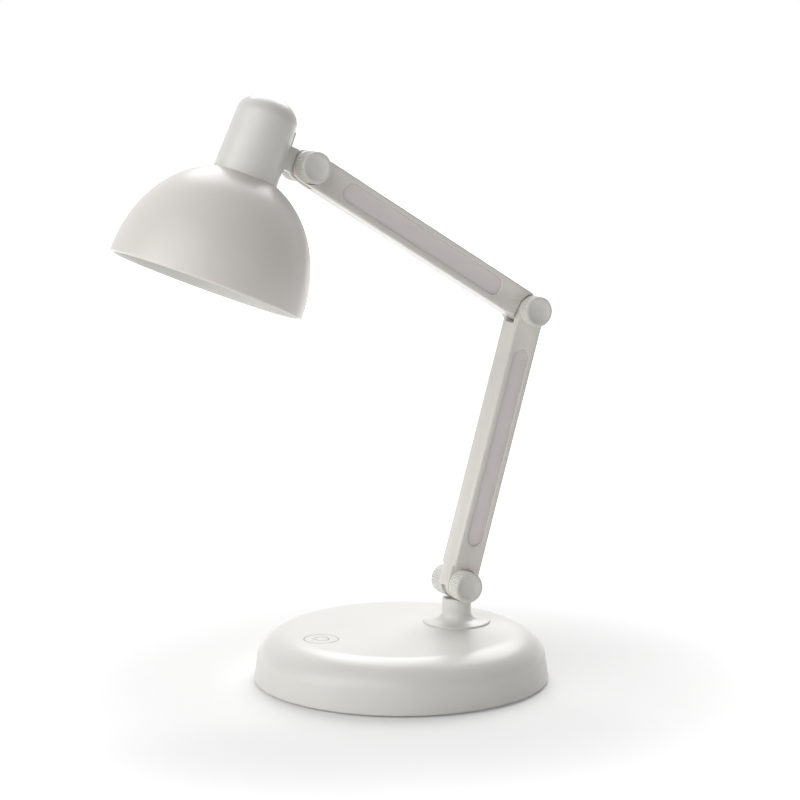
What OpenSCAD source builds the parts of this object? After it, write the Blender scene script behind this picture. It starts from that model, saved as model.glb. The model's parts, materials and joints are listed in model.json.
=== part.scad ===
// Folding LED desk lamp: a round weighted base with a touch key, a trumpet
// stem, two flat arms on three fork-and-tongue hinges with knurled thumb
// knobs, and a domed shade hung from a bracket on its neck.
// +Z is up and the lamp stands on z = 0, with the base centred on the origin.
// The arms fold in the XZ plane, and the shade hangs over the -X side.

/* [Pose] */
// Lean of the lower arm from upright, towards +X (degrees)
lower_tilt = 16; // [8:1:24]
// Lean of the upper arm from upright, towards -X (degrees)
upper_tilt = 58.4; // [52:0.2:66]
// Lean of the shade's axis from upright (degrees)
head_tilt = 22.4; // [16:0.2:28]

/* [Base] */
// Widest diameter of the base, at its foot
base_d = 130; // [118:1:150]
// Height of the base's flat top above the table
base_h = 22; // [21:0.5:28]
// Height at which the side starts to round over
base_side_h = 9.6; // [9:0.2:10.6]
// Width of the rounded shoulder, measured inwards
base_round_w = 16; // [12:1:20]
// Draft of the side wall, measured inwards
base_draft = 1.4; // [0.8:0.2:2]
// Wall thickness of the base shell
base_wall = 2.4; // [2:0.1:2.8]
// Thickness of the bottom plate
plate_t = 2.2; // [1.8:0.1:2.6]
// Thickness of the non-slip foot pad
pad_t = 1; // [0.8:0.1:1.4]
// Gap between the steel ballast disc and the screw bosses
ballast_gap = 1; // [0.6:0.2:5]
// Thickness of the steel ballast disc
ballast_t = 4; // [3:0.5:4.5]
// Distance of the touch key's middle from the base's widest edge
key_inset = 25.8; // [23:0.2:28]
// Outer diameter of the touch key's ring
key_d = 15.6; // [13:0.2:18]

/* [Stem] */
// Distance of the stem from the base's centre
stem_x = 27.8; // [26:0.2:34]
// Diameter of the stem's neck
neck_d = 12.9; // [12.1:0.1:14.5]
// Diameter of the flange on the base
flange_d = 30; // [27:0.5:34]
// Thickness of the flange
flange_t = 0.9; // [0.6:0.1:1.4]
// Radius of the trumpet flare
flare_r = 4.6; // [3:0.1:5.6]
// Height of the base hinge above the table
hinge_z = 39.6; // [38.6:0.2:48]
// Depth of the neck's rim below the base hinge
neck_drop = 6.4; // [6.2:0.1:7]

/* [Arms] */
// Length of the lower arm between its hinges
lower_l = 125.4; // [105:0.2:150]
// Length of the upper arm between its hinges
upper_l = 126.6; // [105:0.2:150]
// Width of an arm, seen from the front
arm_w = 13.5; // [12.6:0.1:15]
// Thickness of an arm, along the hinge pins
arm_t = 12.2; // [11.6:0.1:14]
// Rounding of an arm's long edges
arm_edge_r = 0.9; // [0.4:0.1:1.3]
// Distance of the pocket's ends from the hinges
pocket_end = 17.8; // [16:0.2:24]
// The same distance at the upper arm's elbow
elbow_pocket_end = 19.1; // [16:0.1:24]
// Width of the racetrack pocket
pocket_w = 8.6; // [7.8:0.1:9.6]
// Depth of the pocket, down to its cover
pocket_deep = 1.3; // [0.8:0.1:1.7]
// Thickness of the cover in the pocket
cover_t = 1.2; // [0.8:0.1:1.5]

/* [Hinges] */
// Thickness of a fork's ear
ear_t = 2.5; // [2:0.1:2.8]
// Width of the slot in the lower arm's foot and in the head fork
narrow_slot = 3.5; // [3.3:0.1:4.2]
// Distance from a hinge pin to the tongue's square shoulder
shoulder = 7.6; // [7.5:0.1:9]
// Radius of the screw through a hinge
screw_r = 2; // [1.5:0.1:2.4]
// Gap between a screw and its hole
screw_gap = 0.06; // [0.02:0.01:0.09]
// Thickness of a friction washer
washer_t = 0.3; // [0.2:0.05:0.5]
// Width of the wire groove in a tongue
groove_w = 1.5; // [1.4:0.1:1.7]
// Width of the base hinge and the elbow over their knobs
hinge_w = 23.8; // [22.6:0.2:26]
// Width of the head hinge over its knobs
head_hinge_w = 23.1; // [21.9:0.2:26]

/* [Knobs] */
// Diameter of a thumb knob over its ribs
knob_d = 13.5; // [12.4:0.1:14]
// Number of ribs round a knob
knob_ribs = 38; // [28:2:44]
// Depth of the bowl in a knob's face
knob_dish = 1.3; // [0.8:0.1:1.5]
// Width of the rim round the bowl
knob_rim = 1.4; // [1:0.1:2.2]
// Rounding of the edge round a knob's face
knob_bevel = 0.8; // [0.4:0.1:0.9]

/* [Head] */
// Diameter of the shade at its rim
shade_d = 84.4; // [78:0.2:92]
// Height at which the shade meets the neck
shade_h = 48; // [44:0.5:56]
// Height of the crown that the neck takes off the shade's dome
shade_crown = 3.1; // [2.4:0.1:4.5]
// Fullness of the shade's dome: 2 is an ellipse, more is squarer
shade_full = 2.1; // [2:0.05:2.2]
// Wall thickness of the shade
shade_wall = 1.6; // [1.2:0.1:2]
// Diameter of the neck where it meets the shade
cap_d = 28; // [26:0.2:29]
// Narrowing of the neck up to its dome, on the diameter
cap_draft = 1.8; // [0:0.2:2.4]
// Height of the neck's straight part
cap_h = 25.8; // [24:0.2:32]
// Height of the neck's dome
cap_dome_h = 9.6; // [8:0.2:12.4]
// Wall thickness of the neck
cap_wall = 1.8; // [1.4:0.1:2.2]
// Height of the head hinge above the shade's top, along its axis
hinge_over_shade = 13.9; // [13:0.1:16]
// Distance of the head hinge from the shade's axis
head_hinge_r = 24.2; // [23.4:0.2:28]
// Gap along the neck between the shade and the saddle plate
saddle_gap = 7.2; // [1.6:0.2:7.6]
// Reach of the saddle plate above the head hinge
saddle_reach = 11; // [8:0.2:11]
// Height of the bracket's block
bracket_w = 10; // [9.6:0.2:12.4]
// Diameter of the LED board
led_board_d = 33; // [30:0.5:34]
// Number of LED chips in the ring
led_count = 12; // [6:1:16]
// Distance from the LED board to the diffuser
diffuser_gap = 3.4; // [2:0.2:5]

/* [Hidden] */

$fn = 72;
WHITE = "#e6e5df";
WHITE_DARK = "#d8d7d0";
STEEL = "#9aa0a4";
BRASS = "#b89a55";
NYLON = "#f2f1ea";
CABLE = "#d9d9d4";
BOARD = "#2f6b45";
arc_steps = 22;           // steps in a curved profile
eps = 0.01;               // overlap that keeps cuts clean

// base
base_r = base_d / 2;
shell_foot_z = pad_t - 0.2;
shell_edge_r = 0.5;
plate_fit = 0.3;          // gap between the plate and the shell
plate_z = pad_t;
plate_top = plate_z + plate_t;
plate_r = base_r - base_draft - base_wall - plate_fit;
pad_r = plate_r - 1.5;
ballast_top = plate_top + ballast_t;
inner_top = base_h - base_wall;
flat_r = base_r - base_draft - base_round_w;
boss_r = 3.6;
boss_ring_r = flat_r + 4;
boss_turn = 45;
ballast_r = boss_ring_r - boss_r - ballast_gap;
key_x = base_r - key_inset;
base_screw_r = 1.5;
base_screw_l = 11;
base_screw_head = [2.8, 1.4];   // radius and height
base_screw_top = plate_z + base_screw_head[1] + base_screw_l;
thread_gap = 0.05;              // between a screw's thread and its hole
hole_end = 0.4;                 // depth of a blind hole beyond its screw

// things inside the base
battery_size = [26, 58, 7.6];
battery_x = -1;
board_t = 1.6;
touch_board_size = [30, 26];
touch_post_h = 3;
touch_board_z = inner_top - touch_post_h - board_t;
touch_post_y = 10;
post_r = 2.4;
touch_spring_r = 5;
charge_board_size = [11, 18];
charge_post_h = 1.8;
board_gap = 1.2;          // between the ballast and the charge board
charge_board_x = ballast_r + board_gap + charge_board_size.x / 2;
charge_board_z = plate_top + charge_post_h;
charge_post_y = 6.8;
usb_size = [9, 9, 3.2];
usb_shell_t = 0.35;
usb_z = charge_board_z + board_t;
usb_x = base_r - base_draft - 0.2 - usb_size.x;
port_gap = 0.3;
board_screw_r = 1;
board_screw_head = [1.9, 1.1];

// stem
neck_r = neck_d / 2;
stem_top_z = hinge_z - neck_drop;
cradle_r = max(arm_w, knob_d) / 2 + 0.35;   // hollow of the neck's top under the hinge
cradle_z = hinge_z - cradle_r;
root_x = 2.2;             // where the root of the stem's tongue starts
well_deep = 3.6;          // well in the neck's top for the loop of the lead
well_wall = 1.2;
spigot_r = 5;
spigot_l = 8.2;
stem_spigot_z = base_h - spigot_l;
wire_bore_r = 1.2;
nut_t = 3;
nut_r = 8;
stem_washer_t = 1;
stem_washer_r = 9;

// hinges
ear_r = arm_w / 2;
wide_slot = arm_t - 2 * ear_t;  // the elbow's ears are flush with the arm
slot_deep = ear_r + 0.55;
foot_web = 0.65;          // closes the foot's slot behind the hinge
web_low = 1.9;            // how far down the foot that web reaches
lead_room = 1.5;          // for the lead, between that web and the stem's tongue
stem_tongue_r = ear_r - foot_web - lead_room;
groove_top = screw_r + screw_gap + 0.1;
washer_r = stem_tongue_r - 0.3;
knob_gap = 0.1;
screw_head_r = 3.5;
screw_head_h = 2.4;
screw_end = 1.2;          // from the screw's end to the bottom of the bowl
rib_r = 0.42;
horn_gap = 0.7;           // between the round of a hinge and the horns that wrap it
horn_low = 3.4;

// wires
lead_w = 1.6;
lead_t = 1.1;
channel_w = 6.4;
wire_hole_r = 1.05;
wire_side = 3.9;          // the wire passes beside the hinge screw

// places of the hinges
elbow_x = stem_x + lower_l * sin(lower_tilt);
elbow_z = hinge_z + lower_l * cos(lower_tilt);
head_x = elbow_x - upper_l * sin(upper_tilt);
head_z = elbow_z + upper_l * cos(upper_tilt);

// head
shade_r = shade_d / 2;
shade_dome_h = shade_h + shade_crown;
cap_r = cap_d / 2;
cap_top_r = cap_r - cap_draft / 2;
cap_z = shade_h;
cap_dome_z = cap_z + cap_h;
cap_full = 0.93;          // 1 makes the neck's dome an ellipse, less is squarer
head_hinge_h = shade_h + hinge_over_shade;
saddle_t = 0.6;           // thickness of the saddle plate
saddle_low = shade_h + saddle_gap;
saddle_h = head_hinge_h + saddle_reach - saddle_low;
saddle_fit = 0.1;         // between the neck and the bracket's hollow seat
bracket_back = head_hinge_r - shoulder;
carrier_t = 1.6;
carrier_r = led_board_d / 2 + 1;
shade_top_t = 1.8;
carrier_gap = 0.2;
carrier_z = shade_h - shade_top_t - carrier_gap - 2.6;
led_board_t = 1.2;
led_board_z = carrier_z - led_board_t;
chip_size = [2.8, 2.8, 0.7];
chip_ring_r = led_board_d / 2 - 4.2;
diffuser_t = 1.4;
diffuser_wall = 1;
diffuser_r = carrier_r + 0.15 + diffuser_wall;
diffuser_z = led_board_z - diffuser_gap - diffuser_t;
carrier_screw_ring = cap_r - cap_wall - 2;
carrier_screw_r = 1.25;
cap_boss_r = 2.8;
cap_boss_h = 9;
lead_bend = 4;            // slant of the lead where it turns into the bracket
bracket_screw_r = 1.25;
bracket_screw_step = 3.2; // distance of each bracket screw from the hinge's height
hub_r = 5.6;

// ---------- shared shapes ----------

// Extrudes a shape drawn in X and Z evenly to both sides of y = 0
module y_extrude(t) {
    rotate([90, 0, 0]) linear_extrude(t, center = true) children();
}

// A cylinder along Y from y0 to y1
module y_cylinder(r, y0, y1) {
    translate([0, y1, 0]) rotate([90, 0, 0]) cylinder(r = r, h = y1 - y0);
}

module rounded_rect(w, h, r) {
    square([w - 2 * r, h], center = true);
    square([w, h - 2 * r], center = true);
    for (x = [-1, 1], y = [-1, 1])
        translate([x * (w / 2 - r), y * (h / 2 - r)]) circle(r, $fn = 32);
}

// A racetrack along Y of the drawing, from y0 to y1
module racetrack(w, y0, y1) {
    translate([-w / 2, y0 + w / 2]) square([w, y1 - y0 - w]);
    for (y = [y0 + w / 2, y1 - w / 2]) translate([0, y]) circle(w / 2);
}

function unit(v) = v / norm(v);

function left_of(v) = [-v.y, v.x];

// The step sideways at point i of a path that keeps its strip's width even
function mitre(path, i) =
    let (last = len(path) - 1,
         before = unit(path[max(i, 1)] - path[max(i, 1) - 1]),
         after = unit(path[min(i, last - 1) + 1] - path[min(i, last - 1)]),
         side = left_of(unit(before + after)))
    side / (side * left_of(before));

// A flat two-core lead along a path of points in X and Z
module lead(path) {
    half = lead_w / 2;
    last = len(path) - 1;
    y_extrude(lead_t) polygon(concat(
        [for (i = [0 : last]) path[i] + half * mitre(path, i)],
        [for (i = [last : -1 : 0]) path[i] - half * mitre(path, i)]));
}

// A pan-head screw that points up from z = 0, with its head below
module screw(r, l, head) {
    translate([0, 0, -eps]) cylinder(r = r, h = l + eps, $fn = 32);
    difference() {
        translate([0, 0, -head[1]]) cylinder(r = head[0], h = head[1], $fn = 40);
        for (turn = [0, 90])
            rotate(turn) translate([0, 0, -head[1]])
                cube([head[0] * 1.1, 0.5, head[1]], center = true);
    }
}

module at_base_hinge() {
    translate([stem_x, 0, hinge_z]) children();
}

// The lower arm's own frame: z runs up the arm from the base hinge
module at_lower_arm() {
    at_base_hinge() rotate([0, lower_tilt, 0]) children();
}

module at_elbow() {
    translate([elbow_x, 0, elbow_z]) children();
}

// The upper arm's own frame: z runs up the arm from the elbow
module at_upper_arm() {
    at_elbow() rotate([0, -upper_tilt, 0]) children();
}

module at_head_hinge() {
    translate([head_x, 0, head_z]) children();
}

// The shade's own frame: z runs up its axis from the middle of the rim
module at_head() {
    at_head_hinge() rotate([0, head_tilt, 0])
        translate([-head_hinge_r, 0, -head_hinge_h]) children();
}

// ---------- base ----------

function base_outline() = concat(
    [for (i = [0 : arc_steps])
        let (a = 90 * i / arc_steps)
        [flat_r + base_round_w * sin(a), base_side_h + (base_h - base_side_h) * cos(a)]],
    [[base_r, shell_foot_z + shell_edge_r], [base_r - shell_edge_r, shell_foot_z]]
);

function base_inside() = concat(
    [[base_r - base_draft - base_wall, shell_foot_z - 1]],
    [for (i = [0 : arc_steps])
        let (a = 90 * i / arc_steps)
        [flat_r + (base_round_w - base_wall) * cos(a),
         base_side_h + (inner_top - base_side_h) * sin(a)]]
);

module base_bosses() {
    for (i = [0 : 3]) rotate(boss_turn + 90 * i) translate([boss_ring_r, 0, 0]) children();
}

module base_shell() color(WHITE) {
    difference() {
        union() {
            difference() {
                rotate_extrude($fn = 144)
                    polygon(concat([[0, base_h]], base_outline(), [[0, shell_foot_z]]));
                rotate_extrude($fn = 144)
                    polygon(concat([[0, shell_foot_z - 1]], base_inside(), [[0, inner_top]]));
            }
            intersection() {
                base_bosses() translate([0, 0, plate_top])
                    cylinder(r = boss_r, h = base_h - plate_top - 1);
                rotate_extrude($fn = 144)
                    polygon(concat([[0, base_h - 1]], [for (p = base_outline()) p - [1, 0.6]],
                                   [[0, shell_foot_z]]));
            }
            for (y = [-1, 1])
                translate([-key_x, y * touch_post_y, inner_top - touch_post_h])
                    cylinder(r = post_r, h = touch_post_h + 0.5, $fn = 32);
        }
        base_bosses() translate([0, 0, plate_top - 1])
            cylinder(r = base_screw_r + thread_gap, h = base_screw_top + hole_end - plate_top + 1,
                     $fn = 32);
        translate([stem_x, 0, inner_top - 1])
            cylinder(r = spigot_r + 0.1, h = base_wall + 2);
        for (y = [-1, 1])
            translate([-key_x, y * touch_post_y, inner_top - touch_post_h - 1])
                cylinder(r = board_screw_r + thread_gap, h = touch_post_h + 1, $fn = 24);
        // shallow ring round the touch key
        translate([-key_x, 0, base_h - 0.15]) difference() {
            cylinder(r = key_d / 2, h = 1);
            translate([0, 0, -1]) cylinder(r = key_d / 2 - 0.5, h = 3);
        }
        // opening for the charging socket
        translate([usb_x + usb_size.x / 2, 0, usb_z + usb_size.z / 2])
            rotate([90, 0, 90]) linear_extrude(usb_size.x)
                rounded_rect(usb_size.y + 2 * port_gap, usb_size.z + 2 * port_gap, 1.7);
    }
}

module base_plate() color(WHITE_DARK) {
    difference() {
        union() {
            translate([0, 0, plate_z]) cylinder(r = plate_r, h = plate_t, $fn = 144);
            for (y = [-1, 1])
                translate([charge_board_x, y * charge_post_y, plate_top - 0.5])
                    cylinder(r = post_r, h = charge_post_h + 0.5, $fn = 32);
        }
        base_bosses() {
            translate([0, 0, plate_z - 1])
                cylinder(r = base_screw_r + 0.3, h = plate_t + 2, $fn = 32);
            translate([0, 0, plate_z - 1])
                cylinder(r = base_screw_head[0] + 0.4, h = 1 + base_screw_head[1], $fn = 40);
        }
        for (y = [-1, 1])
            translate([charge_board_x, y * charge_post_y, plate_z + 0.6])
                cylinder(r = board_screw_r + thread_gap, h = plate_t + charge_post_h, $fn = 24);
    }
}

module foot_pad() color("#55565a") {
    cylinder(r = pad_r, h = pad_t, $fn = 144);
}

module base_screws() color(STEEL) {
    base_bosses() translate([0, 0, plate_z + base_screw_head[1]])
        screw(base_screw_r, base_screw_l, base_screw_head);
}

module ballast() color("#6d7175") {
    translate([0, 0, plate_top]) difference() {
        cylinder(r = ballast_r, h = ballast_t, $fn = 120);
        translate([0, 0, -1]) cylinder(r = 4, h = ballast_t + 2, $fn = 48);
    }
}

module battery() color("#3c6ea5") {
    translate([battery_x, 0, ballast_top + battery_size.z / 2])
        rotate([90, 0, 0]) linear_extrude(battery_size.y, center = true)
            rounded_rect(battery_size.x, battery_size.z, 2.4);
}

module touch_board() color(BOARD) {
    translate([-key_x, 0, touch_board_z]) difference() {
        translate([-touch_board_size.x / 2, -touch_board_size.y / 2, 0])
            cube([touch_board_size.x, touch_board_size.y, board_t]);
        for (y = [-1, 1]) translate([0, y * touch_post_y, -1])
            cylinder(r = board_screw_r + 0.2, h = board_t + 2, $fn = 24);
    }
}

module touch_spring() color(BRASS) {
    translate([-key_x, 0, touch_board_z + board_t]) difference() {
        cylinder(r = touch_spring_r, h = touch_post_h);
        translate([0, 0, -1]) cylinder(r = touch_spring_r - 1, h = touch_post_h);
    }
}

module charge_board() color(BOARD) {
    translate([charge_board_x, 0, charge_board_z]) difference() {
        translate([-charge_board_size.x / 2, -charge_board_size.y / 2, 0])
            cube([charge_board_size.x, charge_board_size.y, board_t]);
        for (y = [-1, 1]) translate([0, y * charge_post_y, -1])
            cylinder(r = board_screw_r + 0.2, h = board_t + 2, $fn = 24);
    }
}

module usb_socket() color(STEEL) {
    translate([usb_x, 0, usb_z + usb_size.z / 2]) rotate([90, 0, 90]) {
        difference() {
            linear_extrude(usb_size.x) rounded_rect(usb_size.y, usb_size.z, 1.5);
            translate([0, 0, 1.2]) linear_extrude(usb_size.x)
                rounded_rect(usb_size.y - 2 * usb_shell_t, usb_size.z - 2 * usb_shell_t, 1.2);
        }
        translate([0, 0, 1]) linear_extrude(usb_size.x - 2) square([6.4, 0.8], center = true);
    }
}

module board_screws() color(STEEL) {
    for (y = [-1, 1]) {
        translate([-key_x, y * touch_post_y, touch_board_z])
            screw(board_screw_r, board_t + 2.4, board_screw_head);
        translate([charge_board_x, y * charge_post_y, charge_board_z + board_t])
            mirror([0, 0, 1]) screw(board_screw_r, board_t + 2.4, board_screw_head);
    }
}

module base_lead() color(CABLE) {
    over = ballast_top + battery_size.z + lead_w / 2;
    under = stem_spigot_z - lead_w / 2 - 0.6;
    lead([[-key_x + touch_board_size.x / 2 + 0.1, over],
          [battery_x + battery_size.x / 2 - 1, over],
          [battery_x + battery_size.x / 2 + 4, under],
          [stem_x, under],
          [stem_x, cradle_z - 0.4]]);
}

// ---------- stem ----------

module stem() color(WHITE) {
    flare_z = base_h + flange_t;
    difference() {
        translate([stem_x, 0, 0]) rotate_extrude($fn = 96) polygon(concat(
            [[0, stem_spigot_z], [spigot_r, stem_spigot_z], [spigot_r, base_h],
             [flange_d / 2, base_h], [flange_d / 2, base_h + flange_t * 0.5],
             [flange_d / 2 - flange_t * 0.5, flare_z]],
            [for (i = [0 : arc_steps / 2])
                let (a = 180 * i / arc_steps)
                [neck_r + flare_r * (1 - sin(a)), flare_z + flare_r * (1 - cos(a))]],
            [[neck_r, stem_top_z - 0.4], [neck_r - 0.4, stem_top_z], [0, stem_top_z]]));
        at_base_hinge() y_cylinder(cradle_r, -arm_t, arm_t);
        translate([stem_x + well_wall - neck_r, -narrow_slot / 2, cradle_z - well_deep])
            cube([neck_r - well_wall + root_x, narrow_slot, 2 * well_deep]);
        translate([stem_x, 0, 0]) cylinder(r = wire_bore_r, h = cradle_z, $fn = 32);
    }
    // tongue, with its root on the outer side only
    at_base_hinge() y_extrude(tongue_t(narrow_slot)) difference() {
        union() {
            circle(stem_tongue_r);
            translate([root_x, -cradle_r - 0.5]) square([stem_tongue_r - root_x, cradle_r + 0.5]);
        }
        circle(screw_r + screw_gap);
    }
}

module stem_washer() color(STEEL) {
    translate([stem_x, 0, inner_top - stem_washer_t]) difference() {
        cylinder(r = stem_washer_r, h = stem_washer_t);
        translate([0, 0, -1]) cylinder(r = spigot_r + 0.2, h = stem_washer_t + 2);
    }
}

module stem_nut() color(STEEL) {
    translate([stem_x, 0, inner_top - stem_washer_t - nut_t]) difference() {
        cylinder(r = nut_r, h = nut_t, $fn = 6);
        translate([0, 0, -1]) cylinder(r = spigot_r + thread_gap, h = nut_t + 2);
    }
}

// ---------- hinge hardware ----------
// Each hinge is set by its slot and by its whole width over the knobs.

function knob_seat(slot) = slot / 2 + ear_t + knob_gap;

function tongue_t(slot) = slot - 2 * washer_t;

// Screw with its head in the front knob, along Y from the hinge's centre
module hinge_screw(slot, width) color(STEEL) {
    y_cylinder(screw_r, -knob_seat(slot) - 1.2, width / 2 - knob_dish - screw_end);
    translate([0, -knob_seat(slot) - 1, 0]) rotate([90, 0, 0])
        cylinder(r = screw_head_r, h = screw_head_h, $fn = 6);
}

// Outline of a knob, with a rib at each step round it
module knob_outline() {
    core_r = knob_d / 2 - rib_r;
    circle(core_r);
    for (i = [0 : knob_ribs - 1])
        rotate(360 * i / knob_ribs) translate([core_r, 0]) circle(rib_r, $fn = 16);
}

// Radius of the ball that cuts a bowl with this radius and depth
function bowl_ball(r, deep) = (r * r + deep * deep) / (2 * deep);

// Thumb knob: z = 0 is its seat on the ear and its bowl is at the top
module thumb_knob(h) {
    face_r = knob_d / 2;
    ball_r = bowl_ball(face_r - knob_rim, knob_dish);
    difference() {
        intersection() {
            linear_extrude(h) knob_outline();
            rotate_extrude() polygon(concat(
                [[0, 0], [face_r - 0.4, 0], [face_r, 0.4]],
                [for (a = [0, 45, 90])
                    [face_r - knob_bevel * (1 - cos(a)), h - knob_bevel * (1 - sin(a))]],
                [[0, h]]));
        }
        translate([0, 0, h - knob_dish + ball_r]) sphere(ball_r);
    }
}

module front_knob(slot, width) color(WHITE) {
    translate([0, -knob_seat(slot), 0]) rotate([90, 0, 0]) difference() {
        thumb_knob(width / 2 - knob_seat(slot));
        translate([0, 0, -1]) cylinder(r = screw_r + thread_gap, h = 3, $fn = 32);
        translate([0, 0, 1 - thread_gap])
            cylinder(r = screw_head_r + thread_gap, h = screw_head_h + 2 * thread_gap, $fn = 6);
    }
}

module back_knob(slot, width) color(WHITE) {
    knob_h = width / 2 - knob_seat(slot);
    translate([0, knob_seat(slot), 0]) rotate([-90, 0, 0]) difference() {
        thumb_knob(knob_h);
        translate([0, 0, -1])
            cylinder(r = screw_r + screw_gap, h = knob_h - knob_dish - screw_end + 1.2, $fn = 40);
    }
}

module hinge_washers(slot) color(NYLON) {
    for (side = [-1, 1])
        translate([0, side * (slot - washer_t) / 2, 0]) y_extrude(washer_t) difference() {
            circle(washer_r);
            circle(screw_r + 0.1);
        }
}

module base_hinge_screw() at_base_hinge() hinge_screw(narrow_slot, hinge_w);
module base_knob_front() at_base_hinge() front_knob(narrow_slot, hinge_w);
module base_knob_back() at_base_hinge() back_knob(narrow_slot, hinge_w);
module base_hinge_washers() at_base_hinge() hinge_washers(narrow_slot);
module elbow_screw() at_elbow() hinge_screw(wide_slot, hinge_w);
module elbow_knob_front() at_elbow() front_knob(wide_slot, hinge_w);
module elbow_knob_back() at_elbow() back_knob(wide_slot, hinge_w);
module elbow_washers() at_elbow() hinge_washers(wide_slot);
module head_hinge_screw() at_head_hinge() hinge_screw(narrow_slot, head_hinge_w);
module head_knob_front() at_head_hinge() front_knob(narrow_slot, head_hinge_w);
module head_knob_back() at_head_hinge() back_knob(narrow_slot, head_hinge_w);
module head_hinge_washers() at_head_hinge() hinge_washers(narrow_slot);

// ---------- arms ----------
// An arm's own frame has its foot's hinge at z = 0 and its fork's at z = l. It is
// set by its length, by the thickness of its foot, by the slot of its fork, and
// by the start of its pocket. Its foot's own cuts are its children.

// Side view of the full-thickness part. Its foot has a square shoulder on the
// inner side and a horn that wraps the hinge on the outer side. Its top is at
// the fork's hinge where the ears are flush, or wraps the hinge with two horns.
module arm_side(l, top) {
    difference() {
        translate([-arm_w / 2, horn_low]) square([arm_w, top - horn_low]);
        circle(ear_r + horn_gap);
        translate([-arm_w, 0]) square([arm_w + 1.2, shoulder]);
        if (top < l) translate([0, l]) circle(ear_r + horn_gap);
    }
}

module fork_end(l) {
    translate([0, l]) circle(ear_r);
    translate([-arm_w / 2, l - 2 * shoulder]) square([arm_w, 2 * shoulder]);
}

// Height at which a lead is in the full width of its channel
function wire_turn(start) = start + 1.6 + channel_w / 2;

module arm_bar(l, foot_t, fork_slot) {
    fork_t = fork_slot + 2 * ear_t;
    intersection() {
        linear_extrude(l + ear_r) rounded_rect(arm_w, arm_t, arm_edge_r);
        union() {
            y_extrude(arm_t) arm_side(l, fork_t > arm_t - eps ? l : l - horn_low);
            y_extrude(fork_t) fork_end(l);
        }
    }
    y_extrude(foot_t) {
        circle(ear_r);
        translate([-arm_w / 2, 0]) square([arm_w, shoulder + 4]);
    }
}

module arm(l, foot_t, fork_slot, start) color(WHITE) {
    y_face = arm_t / 2;
    seat = pocket_deep + cover_t;
    channel = y_face + lead_t / 2;
    difference() {
        arm_bar(l, foot_t, fork_slot);
        // fork slot and screw holes
        translate([-arm_w, -fork_slot / 2, l - slot_deep]) cube([2 * arm_w, fork_slot, 2 * arm_w]);
        y_cylinder(screw_r + screw_gap, -arm_t, arm_t);
        translate([0, 0, l]) y_cylinder(screw_r + screw_gap, -arm_t, arm_t);
        // pocket in each face, with the cover's seat and the channel in front
        for (side = [-1, 1])
            translate([0, side * (y_face - pocket_deep / 2 + 0.5), 0]) y_extrude(pocket_deep + 1)
                racetrack(pocket_w, start, l - pocket_end);
        translate([0, -y_face + seat / 2, 0]) y_extrude(seat)
            racetrack(pocket_w - 1.2, start + 0.6, l - pocket_end - 0.6);
        translate([0, -y_face + channel / 2, 0]) y_extrude(channel)
            racetrack(channel_w, start + 1.6, l - pocket_end - 1.6);
        // way out for the lead into the fork
        translate([0, 0, l - pocket_end - channel_w]) cylinder(r = wire_hole_r, h = pocket_end, $fn = 32);
        children();
    }
}

// Cuts of a foot that is a fork: its slot is open below and on the outer side,
// and the lead leaves through the slot's roof
module fork_foot_cuts(slot, start) {
    y_extrude(slot) {
        translate([-arm_w, -2 * arm_w]) square([2 * arm_w, 2 * arm_w - web_low]);
        translate([foot_web - ear_r, -web_low - eps])
            square([2 * arm_w, slot_deep + web_low + eps]);
    }
    cylinder(r = wire_hole_r, h = wire_turn(start), $fn = 32);
}

// Cuts of a foot that is a tongue: the lead leaves beside the screw, into a
// groove below it
module tongue_foot_cuts(start) {
    translate([-arm_w, -groove_w / 2, -arm_w - groove_top]) cube([2 * arm_w, groove_w, arm_w]);
    translate([-wire_side, 0, -groove_top - 1])
        cylinder(r = wire_hole_r, h = groove_top + 1 + wire_turn(start) + wire_side, $fn = 32);
}

module arm_cover(l, start) color(WHITE_DARK) {
    translate([0, -arm_t / 2 + pocket_deep + cover_t / 2, 0]) y_extrude(cover_t)
        racetrack(pocket_w - 1.4, start + 0.7, l - pocket_end - 0.7);
}

module lower_arm() at_lower_arm()
    arm(lower_l, narrow_slot + 2 * ear_t, wide_slot, pocket_end)
        fork_foot_cuts(narrow_slot, pocket_end);

module upper_arm() at_upper_arm()
    arm(upper_l, tongue_t(wide_slot), narrow_slot, elbow_pocket_end)
        tongue_foot_cuts(elbow_pocket_end);

module lower_arm_cover() at_lower_arm() arm_cover(lower_l, pocket_end);
module upper_arm_cover() at_upper_arm() arm_cover(upper_l, elbow_pocket_end);

module lower_arm_lead() color(CABLE) at_lower_arm()
    lead([[0, slot_deep + 0.3], [0, lower_l - slot_deep - 0.3]]);

module upper_arm_lead() color(CABLE) at_upper_arm() {
    turn = wire_turn(elbow_pocket_end);
    lead([[-wire_side, -groove_top + 0.4], [-wire_side, turn], [0, turn + 2 * wire_side],
          [0, upper_l - slot_deep - 0.3]]);
}

// ---------- head ----------

// Radius of a dome of radius r and height h, at height z
function dome_r(r, h, z) = r * pow(1 - pow(z / h, shade_full), 0.5);

function shade_outline(r, h, top) = [for (i = [0 : arc_steps])
    let (z = top * (1 - pow(1 - i / arc_steps, 1.35))) [dome_r(r, h, z), z]];

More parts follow.
